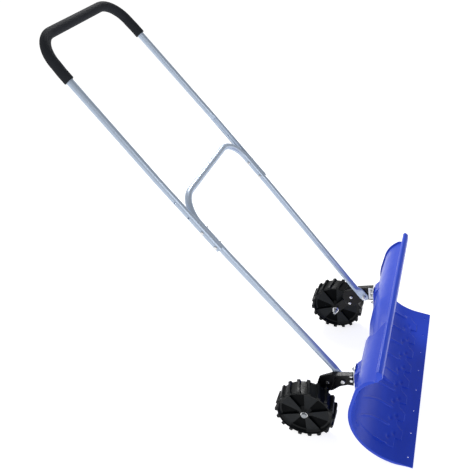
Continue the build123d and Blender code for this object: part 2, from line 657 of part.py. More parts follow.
# ---------------------------------------------------------------- the object
def make_parts():
    parts = {"blade": [make_blade()]}
    for name, piece in (
        ("blade_plate", make_blade_plate()),
        ("side_arm", make_side_arm()),
        ("wheel_arm", make_wheel_arm()),
        ("wheel", make_wheel()),
    ):
        left, right = both_sides(piece)
        parts[name + "_left"] = [left]
        parts[name + "_right"] = [right]

    parts["lower_frame"] = [make_lower_frame()]
    parts["upper_handle"] = [make_upper_handle()]
    parts["foam_grip"] = [make_grip()]

    bolts, washers, nuts = blade_fasteners()
    parts["blade_bolts"] = mirrored_set(bolts)
    parts["blade_washers"] = mirrored_set(washers)
    parts["blade_nuts"] = mirrored_set(nuts)

    arm_outer_x = ARM_INNER_X + ARM_THICKNESS
    plate_inner_x = ARM_INNER_X - BLADE_PLATE_THICKNESS
    bolts, nuts, _ = clamp_set(PLATE_BOLTS, arm_outer_x, plate_inner_x, M6)
    parts["plate_bolts"] = mirrored_set(bolts)
    parts["plate_nuts"] = mirrored_set(nuts)

    wheel_arm_outer_x = arm_outer_x + WHEEL_ARM_THICKNESS
    bolts, nuts, _ = clamp_set(WHEEL_ARM_BOLTS, wheel_arm_outer_x, ARM_INNER_X, M6)
    parts["wheel_arm_bolts"] = mirrored_set(bolts)
    parts["wheel_arm_nuts"] = mirrored_set(nuts)

    paddle_inner_x = ARM_INNER_X - PADDLE_THICKNESS
    bolts, nuts, washers = clamp_set([PIVOT], arm_outer_x, paddle_inner_x, M8, washer=True)
    parts["pivot_bolts"] = mirrored_set(bolts)
    parts["pivot_nuts"] = mirrored_set(nuts)
    parts["pivot_washers"] = mirrored_set(washers)

    points = [handle_point(distance) for distance in HANDLE_HOLES[:2]]
    tube_outer_x = LOWER_LEG_X + NEST_OFFSET + TUBE_RADIUS
    bolts, nuts, _ = clamp_set(points, tube_outer_x, LOWER_LEG_X - TUBE_RADIUS, M6)
    parts["handle_bolts"] = mirrored_set(bolts)
    parts["handle_nuts"] = mirrored_set(nuts)

    names = ("axle_bolt", "axle_nut", "axle_lock_washer", "axle_outer_washer", "axle_spacer")
    for name, piece in zip(names, axle_parts()):
        parts[name + "s"] = both_sides(piece)
    return parts


def write_parts(parts):
    os.makedirs("parts", exist_ok=True)
    for name, pieces in parts.items():
        placed = [MOVE_TO_ORIGIN * piece for piece in pieces]
        solids = [solid for piece in placed for solid in piece.solids()]
        shape = solids[0] if len(solids) == 1 else Compound(children=solids)
        export_step(shape, f"parts/{name}.step")


write_parts(make_parts())
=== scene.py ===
"""The looks of a wheeled snow pusher: blade, side brackets, lugged wheels and tubular handle."""

import json
from functools import cache
from math import (
    asin, atan2, copysign, cos, degrees, exp, hypot, inf, pi, radians, sin, sqrt,
)

import bmesh
import bpy
from mathutils import Matrix, Vector


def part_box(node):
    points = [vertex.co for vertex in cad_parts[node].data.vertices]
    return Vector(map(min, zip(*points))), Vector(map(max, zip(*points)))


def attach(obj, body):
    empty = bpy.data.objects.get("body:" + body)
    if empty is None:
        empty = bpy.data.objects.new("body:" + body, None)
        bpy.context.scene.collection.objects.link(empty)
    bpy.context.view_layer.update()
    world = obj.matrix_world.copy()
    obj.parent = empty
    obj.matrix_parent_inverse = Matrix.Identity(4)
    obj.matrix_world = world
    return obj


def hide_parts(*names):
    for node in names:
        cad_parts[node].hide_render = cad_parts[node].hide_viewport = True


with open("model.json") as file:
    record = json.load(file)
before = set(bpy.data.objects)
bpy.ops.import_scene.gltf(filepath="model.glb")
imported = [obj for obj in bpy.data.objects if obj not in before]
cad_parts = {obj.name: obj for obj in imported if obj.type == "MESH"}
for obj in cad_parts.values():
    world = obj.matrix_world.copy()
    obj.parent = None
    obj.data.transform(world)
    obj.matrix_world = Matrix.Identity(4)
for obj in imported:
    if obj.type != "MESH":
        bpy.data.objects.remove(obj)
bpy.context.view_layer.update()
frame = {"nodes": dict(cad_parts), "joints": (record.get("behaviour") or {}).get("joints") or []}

# Lengths are in millimetres: X across the blade, Y back from its cutting edge, Z up.
MM = 0.001
EDGE_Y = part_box("blade")[0].y / MM
JOINTS = {joint["name"]: joint for joint in frame["joints"]}


def place(x, y, z):
    """A point of the modelling frame as a point of the scene, in metres."""
    return Vector((x * MM, (y + EDGE_Y) * MM, z * MM))


def joint_point(name):
    """Where a joint is, in millimetres of the modelling frame."""
    x, y, z = JOINTS[name]["pos_m"]
    return x / MM, y / MM - EDGE_Y, z / MM


# -------- small maths
def clamp(value):
    """The value, kept between 0 and 1."""
    return min(max(value, 0.0), 1.0)


def ramp(start, end, value):
    """0 before start, 1 after end, smooth between."""
    t = clamp((value - start) / (end - start))
    return t * t * (3.0 - 2.0 * t)


def window(low, high, soft, value):
    """1 between low and high, with soft edges."""
    rise = ramp(low - soft / 2, low + soft / 2, value)
    return rise * (1 - ramp(high - soft / 2, high + soft / 2, value))


def blend_lists(first, second, share):
    """Pairs that lie between those of two lists."""
    return [(a + (c - a) * share, b + (d - b) * share) for (a, b), (c, d) in zip(first, second)]


def steps(start, end, count):
    """Evenly spaced values from start to end, both included."""
    return [start + (end - start) * i / count for i in range(count + 1)]


def around(centre, *gaps):
    """Values at the same gaps on both sides of a centre."""
    return [centre + gap for gap in gaps] + [centre - gap for gap in gaps]


def thin_out(values, gap):
    """The values in order, without any that is closer than a gap to the next one."""
    ordered = sorted({round(value, 3) for value in values})
    return [value for value, after in zip(ordered, ordered[1:] + [inf]) if after - value > gap]


# -------- meshes
CUT_CRISP = 42.0               # degrees, over which the edges of a cut piece stay crisp
WELD = 2e-6                    # metres, as the points of a mesh


def finish_mesh(mesh, crisp):
    """Joins doubled points, turns the faces outwards and keeps edges over an angle crisp."""
    bm = bmesh.new()
    bm.from_mesh(mesh)
    bmesh.ops.remove_doubles(bm, verts=bm.verts, dist=WELD)
    bmesh.ops.recalc_face_normals(bm, faces=bm.faces)
    for face in bm.faces:
        face.smooth = True
    for edge in bm.edges:
        edge.smooth = len(edge.link_faces) != 2 or edge.calc_face_angle(0.0) < radians(crisp)
    bm.to_mesh(mesh)
    bm.free()


def new_object(name, verts, faces, material, crisp=35.0):
    """A new mesh object in the scene."""
    mesh = bpy.data.meshes.new(name)
    mesh.from_pydata(verts, [], faces)
    mesh.materials.append(material)
    finish_mesh(mesh, crisp)
    obj = bpy.data.objects.new(name, mesh)
    bpy.context.scene.collection.objects.link(obj)
    return obj


def grid_faces(rows, columns, first=0, wrap_rows=False, wrap_columns=False):
    """Quads of a grid whose points are listed row by row."""
    faces = []
    for i in range(rows if wrap_rows else rows - 1):
        for j in range(columns if wrap_columns else columns - 1):
            i2, j2 = (i + 1) % rows, (j + 1) % columns
            faces.append(
                (first + i * columns + j, first + i * columns + j2,
                 first + i2 * columns + j2, first + i2 * columns + j)
            )
    return faces


class Solid:
    """Collects the points and faces of one piece."""

    def __init__(self):
        self.verts = []
        self.faces = []

    def loft(self, rings, cap_start=True, cap_end=True, closed=False):
        """A skin over rings of equally many points, with flat ends or closed on itself."""
        first, count = len(self.verts), len(rings[0])
        for ring in rings:
            self.verts.extend(ring)
        self.faces += grid_faces(len(rings), count, first, wrap_rows=closed, wrap_columns=True)
        if cap_start and not closed:
            self.faces.append(tuple(range(first, first + count)))
        if cap_end and not closed:
            last = first + (len(rings) - 1) * count
            self.faces.append(tuple(range(last, last + count)))

    def turn(self, profile, matrix, count=32, closed=False):
        """A turned solid: profile lists (radius, height) along the local Z axis."""
        rings = []
        for radius, height in profile:
            ring = []
            for k in range(count):
                angle = 2 * pi * k / count
                ring.append(matrix @ Vector((radius * cos(angle), radius * sin(angle), height)))
            rings.append(ring)
        self.loft(rings, closed=closed)

    def make(self, name, material, crisp=35.0):
        return new_object(name, self.verts, self.faces, material, crisp)


def show(piece, body, slot, *nodes):
    """Puts a piece on the body it rides on and hides the CAD nodes that it stands for; the slot is not
    used.
    """
    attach(piece, body)
    if nodes:
        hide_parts(*nodes)
    return piece


def solids_of(node):
    """Lowest and highest corner, in millimetres, of each solid in a CAD node."""
    bm = bmesh.new()
    bm.from_mesh(frame["nodes"][node].data)
    bmesh.ops.remove_doubles(bm, verts=bm.verts, dist=1e-6)
    seen, boxes = set(), []
    for start in bm.verts:
        if start in seen:
            continue
        island, waiting = [], [start]
        seen.add(start)
        while waiting:
            vert = waiting.pop()
            island.append(vert.co)
            for edge in vert.link_edges:
                other = edge.other_vert(vert)
                if other not in seen:
                    seen.add(other)
                    waiting.append(other)
        low = [min(co[i] for co in island) / MM for i in range(3)]
        high = [max(co[i] for co in island) / MM for i in range(3)]
        boxes.append((Vector(low), Vector(high)))
    bm.free()
    return boxes


# -------- materials
def map_range(tree, source, low, high, to_low, to_high):
    """Adds a node that maps one range of values to another."""
    mapping = tree.nodes.new("ShaderNodeMapRange")
    ranges = {"From Min": low, "From Max": high, "To Min": to_low, "To Max": to_high}
    for name, value in ranges.items():
        mapping.inputs[name].default_value = value
    tree.links.new(source, mapping.inputs["Value"])
    return mapping.outputs["Result"]


class Shader:
    """A Principled material and short ways of adding nodes to it."""

    def __init__(self, name, colour, roughness, **inputs):
        self.material = bpy.data.materials.new(name)
        self.material.use_nodes = True
        self.tree = self.material.node_tree
        self.bsdf = self.tree.nodes["Principled BSDF"]
        self.bsdf.inputs["Base Color"].default_value = (*colour, 1)
        self.bsdf.inputs["Roughness"].default_value = roughness
        for key, value in inputs.items():
            self.bsdf.inputs[key.replace("_", " ")].default_value = value
        self.coords = self.tree.nodes.new("ShaderNodeTexCoord").outputs["Object"]
        self.normal = None

    def node(self, kind, **settings):
        node = self.tree.nodes.new(kind)
        for key, value in settings.items():
            setattr(node, key, value)
        return node

    def link(self, source, target):
        self.tree.links.new(source, target)

    def noise(self, scale, detail=3.0, roughness=0.5, stretch=None):
        """Fractal noise over the object, stretched along an axis if asked."""
        texture = self.node("ShaderNodeTexNoise")
        texture.inputs["Scale"].default_value = scale
        texture.inputs["Detail"].default_value = detail
        texture.inputs["Roughness"].default_value = roughness
        source = self.coords
        if stretch:
            mapping = self.node("ShaderNodeMapping")
            mapping.inputs["Scale"].default_value = stretch
            self.link(self.coords, mapping.inputs["Vector"])
            source = mapping.outputs["Vector"]
        self.link(source, texture.inputs["Vector"])
        return texture.outputs["Fac"]

    def contrast(self, noise):
        """A noise whose middle values cover the whole range."""
        return map_range(self.tree, noise, 0.35, 0.65, 0.0, 1.0)

    def mix(self, factor, first, second):
        """A colour between two colours, or between a colour socket and a colour."""
        mix = self.node("ShaderNodeMix", data_type="RGBA")
        self.link(factor, mix.inputs["Factor"])
        for socket, value in ((mix.inputs["A"], first), (mix.inputs["B"], second)):
            if isinstance(value, tuple):
                socket.default_value = (*value, 1)
            else:
                self.link(value, socket)
        return mix.outputs["Result"]

    def colour(self, source):
        self.link(source, self.bsdf.inputs["Base Color"])

    def rough(self, noise, low, high):
        """Roughness between two values, after a noise."""
        self.link(map_range(self.tree, noise, 0.3, 0.7, low, high), self.bsdf.inputs["Roughness"])

    def bump(self, source, strength, distance):
        """Adds relief of a depth in metres on top of any relief already there."""
        bump = self.node("ShaderNodeBump")
        bump.inputs["Strength"].default_value = strength
        bump.inputs["Distance"].default_value = distance
        self.link(source, bump.inputs["Height"])
        if self.normal:
            self.link(self.normal, bump.inputs["Normal"])
        self.normal = bump.outputs["Normal"]
        self.link(self.normal, self.bsdf.inputs["Normal"])

    def edges(self):
        """Near 1 on outer edges and corners, near 0 elsewhere: the mask of the painted edge highlights."""
        pointiness = self.node("ShaderNodeNewGeometry").outputs["Pointiness"]
        return map_range(self.tree, pointiness, 0.53, 0.62, 0.0, 1.0)


def blade_plastic():
    """Moulded blue polypropylene: soft sheen, faint flow marks, and a painted highlight along the edges.
    """
    paint = Shader("blade_blue", (0.015, 0.056, 0.55), 0.34, Specular_IOR_Level=0.26)
    flow = paint.contrast(paint.noise(9.0, 2.0, 0.5, (0.4, 1.0, 1.0)))
    tone = paint.mix(flow, (0.013, 0.050, 0.51), (0.018, 0.064, 0.60))
    # Painted highlight: edges and corners are mixed towards a paler, brighter blue, as where they catch
    # the light.
    paint.colour(paint.mix(paint.edges(), tone, (0.05, 0.11, 0.72)))
    paint.rough(paint.noise(60.0, 5.0, 0.6), 0.28, 0.42)
    paint.bump(paint.noise(14.0, 2.0), 0.25, 0.0016)
    paint.bump(paint.noise(900.0, 2.0), 0.12, 0.0001)
    return paint.material


def black_coat():
    """Semi-gloss black powder coat with a fine orange peel and a painted highlight along the edges."""
    paint = Shader("black_powder_coat", (0.006, 0.006, 0.007), 0.36, Specular_IOR_Level=0.2)
    # Painted highlight: edges and corners are mixed towards a paler, faintly warm grey.
    paint.colour(paint.mix(paint.edges(), (0.003, 0.003, 0.004), (0.030, 0.030, 0.029)))
    paint.rough(paint.noise(180.0, 4.0), 0.26, 0.42)
    paint.bump(paint.noise(700.0, 2.0), 0.3, 0.0002)
    return paint.material


def wheel_plastic(name, tone, shine):
    """Blow-moulded black plastic: satin, slightly uneven, with a painted highlight that makes the edges
    paler.
    """
    paint = Shader(name, tone, 0.36, Specular_IOR_Level=shine)
    # Painted highlight: edges and corners are mixed towards a paler, bluish grey.
    paint.colour(paint.mix(paint.edges(), tone, (0.030, 0.033, 0.038)))
    paint.rough(paint.noise(70.0, 4.0), 0.28, 0.46)
    paint.bump(paint.noise(35.0, 2.0), 0.3, 0.0008)
    paint.bump(paint.noise(800.0, 2.0), 0.2, 0.00012)
    return paint.material


def tube_metal():
    """Silver-grey coated tube with a faint drawn grain."""
    paint = Shader("silver_tube", (0.44, 0.52, 0.64), 0.36, Metallic=0.55)
    paint.colour(paint.mix(paint.noise(40.0, 2.0), (0.42, 0.50, 0.62), (0.46, 0.54, 0.66)))
    paint.rough(paint.noise(120.0, 4.0, 0.6), 0.32, 0.40)
    paint.bump(paint.noise(500.0, 3.0, 0.6), 0.05, 0.0001)
    return paint.material


def zinc(name, tint, roughness):
    """Bright zinc plating, a little cloudy."""
    paint = Shader(name, tint, roughness, Metallic=1.0)
    cloudy = tuple(channel * 0.78 for channel in tint)
    paint.colour(paint.mix(paint.contrast(paint.noise(220.0, 4.0, 0.6)), tint, cloudy))
    paint.rough(paint.noise(400.0, 3.0), roughness * 0.7, roughness * 1.5)
    paint.bump(paint.noise(600.0, 2.0), 0.15, 0.0001)
    return paint.material


def grip_foam():
    """Black closed-cell foam: matt, with a fine open grain and a little sheen."""
    paint = Shader("foam_black", (0.007, 0.007, 0.008), 0.80, Specular_IOR_Level=0.15)
    paint.colour(paint.mix(paint.noise(500.0, 3.0, 0.7), (0.009, 0.010, 0.013), (0.022, 0.025, 0.031)))
    cells = paint.node("ShaderNodeTexVoronoi")
    cells.inputs["Scale"].default_value = 900.0
    paint.link(paint.coords, cells.inputs["Vector"])
    paint.bump(cells.outputs["Distance"], 0.5, 0.0004)
    paint.bump(paint.noise(60.0, 3.0), 0.3, 0.0006)
    return paint.material


def floor_paper():
    """White backdrop paper that glows a little, so that it looks evenly lit."""
    paint = Shader("floor_white", (0.50, 0.50, 0.50), 0.9, Specular_IOR_Level=0.1)
    paint.bsdf.inputs["Emission Color"].default_value = (1.0, 1.0, 1.0, 1)
    paint.bsdf.inputs["Emission Strength"].default_value = 0.80
    paint.colour(paint.mix(paint.noise(2.0, 2.0), (0.49, 0.49, 0.49), (0.51, 0.51, 0.51)))
    return paint.material


BLUE = blade_plastic()
BLACK = black_coat()
WHEEL = wheel_plastic("wheel_black", (0.003, 0.004, 0.005), 0.16)
# Lit and shaded copies of the wheel plastic: paler for the raised sectors as a painted reflection, darker
# and less shiny for the sunken sectors as painted shade.
WHEEL_RAISED_PAINTED_REFLECTION = wheel_plastic("wheel_raised_painted_reflection", (0.007, 0.009, 0.011), 0.12)
WHEEL_SUNKEN_PAINTED_SHADE = wheel_plastic("wheel_sunken_painted_shade", (0.001, 0.0015, 0.002), 0.03)
SILVER = tube_metal()
ZINC = zinc("zinc_bright", (0.80, 0.81, 0.83), 0.22)
ZINC_SHEET = zinc("zinc_sheet", (0.66, 0.69, 0.74), 0.30)
AXLE_GREY = zinc("axle_grey", (0.36, 0.38, 0.40), 0.30)
FOAM = grip_foam()

# -------- blade
BLADE_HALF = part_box("blade")[1].x / MM
SHEET = 4.5
ROUNDED_END = 0.9              # both ends of the blade are rounded over this length
STEP_HALF = 0.6                # half the width of a sharp step
CURL_Y, CURL_Z = 10.0, 182.0
CURL_RADIUS = 172.75           # to the middle of the sheet
CURL_TOP = 15.7                # angle at which the curl runs on straight
SHOULDER_Y, SHOULDER_Z = 73.0, 251.6
SHOULDER_RADIUS = 93.25
SHOULDER_TOP = 60.0
STRIP_START = (1.1, 2.35)      # the middle of the cutting edge

LIP_BACK = 99.75               # the middle of the lip's back wall
LIP_BEND = 6.0
LIP_WALL_TOP = 373.75
LIP_CREST = 5.0
LIP_CREST_TURN = 135.0
LIP_SLOPE = 5.36
LIP_FRONT_BEND = 4.0
LIP_FRONT_TURN = 45.0
LIP_SKIRT, LIP_END_SKIRT = 352.0, 361.0
FILL_BACK = (97.5, 341.2)      # the filled lip ends between here and the skirt
FILL_FRONT = 84.3

END_BAND = 369.8               # the flange and the filled lip are beyond this distance from the middle
FLANGE_RISE = 5.5
FLANGE_GROWS = (8.0, 60.0)     # lengths along the profile
FLANGE_SINKS = (-14.0, -2.0)   # lengths along the profile, from the end of the roof

PAD_LOW_X, PAD_HIGH_X = 187.0, 244.0
PAD_Y, PAD_FOOT, PAD_TOP = 191.0, 148.0, 230.0
PAD_SLOPE = Vector((0.733, 0.680))
PAD_MARGIN = 3.0
PAD_SOFT = 1.6
PAD_FIRST_ANGLE = -20.0

VALLEY_START = 45.0            # the recess in the middle deepens from here towards the right
VALLEY_HALF = 58.0             # distance of its wall from the middle, at its foot
VALLEY_LEAN = 79.0             # how much further out the wall is where the recess is widest
VALLEY_NARROWING = 54.0
VALLEY_LOW_Z, VALLEY_WIDE_Z, VALLEY_TOP_Z = 219.0, 316.0, 343.0
VALLEY_WALL, VALLEY_DEPTH = 6.0, 12.5
VALLEY_SPREAD = 2.5            # it is this much wider on the snow side
VALLEY_GROWS = (-66.0, -34.0)  # directions of the sheet's back
VALLEY_SINKS = (50.0, 4.0)     # lengths past the start of the shoulder and the end of the roof

TOOTH_PITCH = 76.8
TOOTH_FIRST = -285.0
TOOTH_LAST = TOOTH_FIRST + 7.88 * TOOTH_PITCH
TOOTH_TIP, TOOTH_ROOT = 45.0, 66.0
TOOTH_FLAT, TOOTH_SLANT = 36.0, 22.0
TOOTH_SIDE, TOOTH_FRONT = 0.8, 1.4
CORRUGATED_HALF = 323.0
CORRUGATION_RISE = 2.4
CORRUGATION_SINKS = (150.0, 240.0)
RIB_FIRST, RIB_PITCH, RIB_COUNT = -322.4, 78.6, 9
RIB_START, RIB_ROUNDING = 92.0, 6.0
RIB_SINKS = (185.0, 235.0)
RIB_LEAN, RIB_LEAN_START, RIB_LEAN_SPAN = 42.0, 112.0, 90.0
RIB_RISE = 3.2
RIB_FLANKS = (2.0, 6.0)
DIMPLES = ((16.0, 72.0), (73.0, 88.0))
DIMPLE_DEPTH = 3.4
DIMPLE_WIDTH, DIMPLE_LENGTH = 9.0, 4.5
BOSSES = ((340.3, 125.0), (305.8, 180.8))
BOSS_RISE = 3.0
BOSS_FLANKS = (4.0, 9.0)

EDGE_HOLES = 8
EDGE_HOLE_SPAN = 681.1
EDGE_HOLE_SETBACK = 18.6
EDGE_HOLE_RADIUS = 3.0
HOLE_SIDES = 24
PUNCH_REACH = 30.0


def strip_run():
    """Rise of the strip and its length up to where it touches the curl."""
    run_y, run_z = CURL_Y - STRIP_START[0], CURL_Z - STRIP_START[1]
    reach = hypot(run_y, run_z)
    slope = degrees(atan2(run_z, run_y) - asin(CURL_RADIUS / reach))
    return slope, sqrt(reach * reach - CURL_RADIUS * CURL_RADIUS)


def heading_vector(heading):
    return Vector((cos(radians(heading)), sin(radians(heading))))


def blade_path():
    """The middle of the sheet as (start, heading, length, turn) of each line and arc."""
    slope, strip = strip_run()
    up = heading_vector(CURL_TOP + 90.0)
    middle = Vector((SHOULDER_Y - CURL_Y, SHOULDER_Z - CURL_Z)).dot(up)
    roof = heading_vector(SHOULDER_TOP + 90.0)
    back = heading_vector(SHOULDER_TOP)
    roof_start = Vector((SHOULDER_Y, SHOULDER_Z)) + back * SHOULDER_RADIUS
    bend_start_y = LIP_BACK + LIP_BEND * (1 - cos(radians(SHOULDER_TOP)))
    roof_length = (bend_start_y - roof_start.x) / roof.x
    bend_end_z = roof_start.y + roof.y * roof_length + LIP_BEND * sin(radians(SHOULDER_TOP))
    parts = [
        (strip, 0.0),
        (radians(CURL_TOP + 90.0 - slope) * CURL_RADIUS, CURL_TOP + 90.0 - slope),
        (middle, 0.0),
        (radians(SHOULDER_TOP - CURL_TOP) * SHOULDER_RADIUS, SHOULDER_TOP - CURL_TOP),
        (roof_length, 0.0),
        (radians(SHOULDER_TOP) * LIP_BEND, -SHOULDER_TOP),
        (LIP_WALL_TOP - bend_end_z, 0.0),
        (radians(LIP_CREST_TURN) * LIP_CREST, LIP_CREST_TURN),
        (LIP_SLOPE, 0.0),
        (radians(LIP_FRONT_TURN) * LIP_FRONT_BEND, LIP_FRONT_TURN),
    ]
    path, point, heading = [], Vector(STRIP_START), slope
    for length, turn in parts:
        path.append((point, heading, length, turn))
        point, heading = path_point(path[-1], length)
    path.append((point, heading, point.y - LIP_SKIRT, 0.0))
    return path


def path_point(part, run):
    """The point and heading at a distance along one line or arc."""
    start, heading, length, turn = part
    if turn == 0.0:
        return start + heading_vector(heading) * run, heading
    radius = length / radians(turn)
    centre = start + heading_vector(heading + 90.0) * radius
    now = heading + turn * run / length
    return centre - heading_vector(now + 90.0) * radius, now


PATH = blade_path()
PATH_ENDS = [sum(part[2] for part in PATH[:count]) for count in range(1, len(PATH) + 1)]
CURL_END, SHOULDER_START, SHOULDER_END, ROOF_END = PATH_ENDS[1:5]
LIP_FRONT_START, BLADE_LENGTH = PATH_ENDS[-2:]


@cache
def blade_profile(s):
    """Middle of the sheet at a length along the profile: y, z and the angle of its back normal."""
    begin = 0.0
    for part, end in zip(PATH, PATH_ENDS):
        if s <= end or part is PATH[-1]:
            point, heading = path_point(part, s - begin)
            return point.x, point.y, heading - 90.0
        begin = end


def step_up(edge, value):
    """0 before an edge and 1 after it, as a short step."""
    return ramp(edge - STEP_HALF, edge + STEP_HALF, value)


def valley(x, s, spread):
    """How far the pressed middle of the blade lies in front of the curl.

    It deepens towards its steep wall, which leans outwards up to the roof and back across it.
    """
    z, angle = blade_profile(s)[1:]
    sinks_from, sinks_to = VALLEY_SINKS
    along = ramp(*VALLEY_GROWS, angle) * (1 - ramp(SHOULDER_START + sinks_from, ROOF_END + sinks_to, s))
    leaning = clamp((z - VALLEY_LOW_Z) / (VALLEY_WIDE_Z - VALLEY_LOW_Z))
    closing = clamp((z - VALLEY_WIDE_Z) / (VALLEY_TOP_Z - VALLEY_WIDE_Z))
    half = VALLEY_HALF + VALLEY_LEAN * leaning + spread
    half -= VALLEY_NARROWING * closing**1.5
    slope = clamp((VALLEY_START - x) / (VALLEY_START + half))
    return VALLEY_DEPTH * along * slope * (1 - ramp(half, half + VALLEY_WALL, -x))


def pad_rise(x, s, inset):
    """How far the back of a bracket pad stands off the middle of the sheet, 0 where there is none."""
    y, z, angle = blade_profile(s)
    beside = not PAD_LOW_X - PAD_MARGIN < abs(x) < PAD_HIGH_X + PAD_MARGIN
    if beside or s > SHOULDER_END or angle < PAD_FIRST_ANGLE:
        return 0.0
    back = heading_vector(angle)
    off_slope = Vector((PAD_Y - y, PAD_TOP - z)).dot(PAD_SLOPE) / back.dot(PAD_SLOPE)
    rise = min((PAD_Y - y) / back.x, off_slope)
    across = window(PAD_LOW_X + inset, PAD_HIGH_X - inset, PAD_SOFT, abs(x))
    return max(rise - SHEET / 2, 0.0) * step_up(PAD_FOOT + inset, z) * across


def back_offset(x, s):
    """Back surface of the sheet, measured from its middle."""
    rise = SHEET / 2 - valley(x, s, 0.0) + pad_rise(x, s, 0.0)
    sinks_from, sinks_to = FLANGE_SINKS
    flange = step_up(END_BAND, abs(x)) * ramp(*FLANGE_GROWS, s)
    return rise + FLANGE_RISE * flange * (1 - ramp(ROOF_END + sinks_from, ROOF_END + sinks_to, s))


def tooth_line(x):
    """How far behind the cutting edge the corrugated zone begins."""
    if x < TOOTH_FIRST or x > TOOTH_LAST:
        return TOOTH_ROOT
    across = (x - TOOTH_FIRST) % TOOTH_PITCH
    tip = ramp(-TOOTH_SIDE, TOOTH_SIDE, across) * (1 - clamp((across - TOOTH_FLAT) / TOOTH_SLANT))
    return TOOTH_ROOT + (TOOTH_TIP - TOOTH_ROOT) * tip


def rib(x, s):
    """Height of the ribs on the snow side, which lean sideways more and more up the curl."""
    lean = RIB_LEAN * max((s - RIB_LEAN_START) / RIB_LEAN_SPAN, 0.0) ** 2
    number = round((x + lean - RIB_FIRST) / RIB_PITCH)
    if not 0 <= number < RIB_COUNT:
        return 0.0
    off = abs(x + lean - RIB_FIRST - number * RIB_PITCH)
    shown = ramp(RIB_START - RIB_ROUNDING, RIB_START + RIB_ROUNDING, s) * (1 - ramp(*RIB_SINKS, s))
    return RIB_RISE * (1 - ramp(*RIB_FLANKS, off)) * shown


def dimples(x, y):
    """Depth of the dimples, two behind each tooth."""
    across = (x - TOOTH_FIRST) % TOOTH_PITCH
    depth = 0.0
    for centre, middle in DIMPLES:
        off = (across - centre + TOOTH_PITCH / 2) % TOOTH_PITCH - TOOTH_PITCH / 2
        depth += DIMPLE_DEPTH * exp(-((off / DIMPLE_WIDTH) ** 2) - ((y - middle) / DIMPLE_LENGTH) ** 2)
    return depth


def front_offset(x, s):
    """Snow-side surface of the sheet, measured from its middle."""
    y, z = blade_profile(s)[:2]
    depth = -SHEET / 2 - valley(x, s, VALLEY_SPREAD) + pad_rise(x, s, SHEET)
    if s < CORRUGATION_SINKS[1]:
        corrugated = 1 - ramp(CORRUGATED_HALF - 1.0, CORRUGATED_HALF + 1.0, abs(x))
        start = tooth_line(x)
        step = ramp(start - TOOTH_FRONT, start + TOOTH_FRONT, y) * (1 - ramp(*CORRUGATION_SINKS, s))
        depth += (dimples(x, y) - CORRUGATION_RISE * step - rib(x, s)) * corrugated
    for boss_x, boss_z in BOSSES:
        depth -= BOSS_RISE * (1 - ramp(*BOSS_FLANKS, hypot(abs(x) - boss_x, z - boss_z)))
    return depth


def blade_point(x, s, offset):
    """A point of the scene, at an offset from the middle of the sheet."""
    y, z, angle = blade_profile(s)
    back = radians(angle)
    return place(x, y + offset * cos(back), z + offset * sin(back))


def skirt_height(x):
    """Height of the lower edge of the lip's front wall, which rises towards the ends."""
    rise = step_up(END_BAND, abs(x)) * ramp(END_BAND, BLADE_HALF, abs(x))
    return LIP_SKIRT + (LIP_END_SKIRT - LIP_SKIRT) * rise


def outer_point(x, s, shy):
    """A point of the back of the blade and of the outside of the lip."""
    point = blade_point(x, s, back_offset(x, s) - shy)
    if s > LIP_FRONT_START:
        point.z = max(point.z, skirt_height(x) * MM + (point.z - LIP_SKIRT * MM) * 0.1)
    return point


def inner_point(x, s, shy):
    """A point of the snow side and of the inside of the lip, which is filled at the ends."""
    point = blade_point(x, s, front_offset(x, s) + shy)
    fill = step_up(END_BAND, abs(x))
    if fill and s > ROOF_END:
        first = place(x, *FILL_BACK)
        last = place(x, FILL_FRONT, skirt_height(x))
        share = (s - ROOF_END) / (BLADE_LENGTH - ROOF_END)
        point = point.lerp(first.lerp(last, share), fill)
    return point


def blade_ring(x, stations):
    """One closed cross-section: up the back, over the lip, down the snow side, round the edge."""
    edge = max(abs(x) - (BLADE_HALF - ROUNDED_END), 0.0) / ROUNDED_END
    shy = ROUNDED_END * (1 - sqrt(max(1 - edge * edge, 0.0)))
    outer = [outer_point(x, s, shy) for s in stations]
    inner = [inner_point(x, s, shy) for s in stations]
    return outer + inner[::-1]


def blade_columns():
    """Where the blade's cross-sections are taken, closer together at steps and rounded ends."""
    half = steps(0.0, BLADE_HALF - ROUNDED_END, 210) + [BLADE_HALF - gap for gap in (0.5, 0.2, 0.0)]
    pad_walls = (PAD_LOW_X, PAD_HIGH_X, PAD_LOW_X + SHEET, PAD_HIGH_X - SHEET)
    for centre in (END_BAND, *pad_walls, CORRUGATED_HALF):
        half += around(centre, 0.3, 0.9)
    half += steps(VALLEY_HALF, VALLEY_HALF + VALLEY_LEAN + VALLEY_WALL, 60)
    columns = [side * x for x in half for side in (-1, 1)]
    for number in range(8):
        columns += around(TOOTH_FIRST + number * TOOTH_PITCH, 0.0, 0.3, 0.8)
    return thin_out(columns, 0.12)


def blade_stations():
    """Lengths along the profile where the sections have a point, closer together at steps."""
    stations = steps(0.0, CURL_END, 150) + steps(CURL_END, ROOF_END, 60)
    stations += steps(ROOF_END, BLADE_LENGTH, 72)
    for s in steps(0.0, ROOF_END, 900):
        y, z = blade_profile(s)[:2]
        at_pad_foot = min(abs(z - PAD_FOOT), abs(z - PAD_FOOT - SHEET)) < 2 * STEP_HALF
        at_tooth = min(abs(y - TOOTH_TIP), abs(y - TOOTH_ROOT)) < TOOTH_FRONT
        if at_pad_foot or (at_tooth and s < RIB_START):
            stations.append(s)
    return thin_out(stations, 0.1)


def punch_hole(punch, matrix, radius):
    """Adds a rod that makes a round hole, along the Z axis of a frame."""
    punch.turn([(radius, -PUNCH_REACH), (radius, PUNCH_REACH)], matrix, HOLE_SIDES)


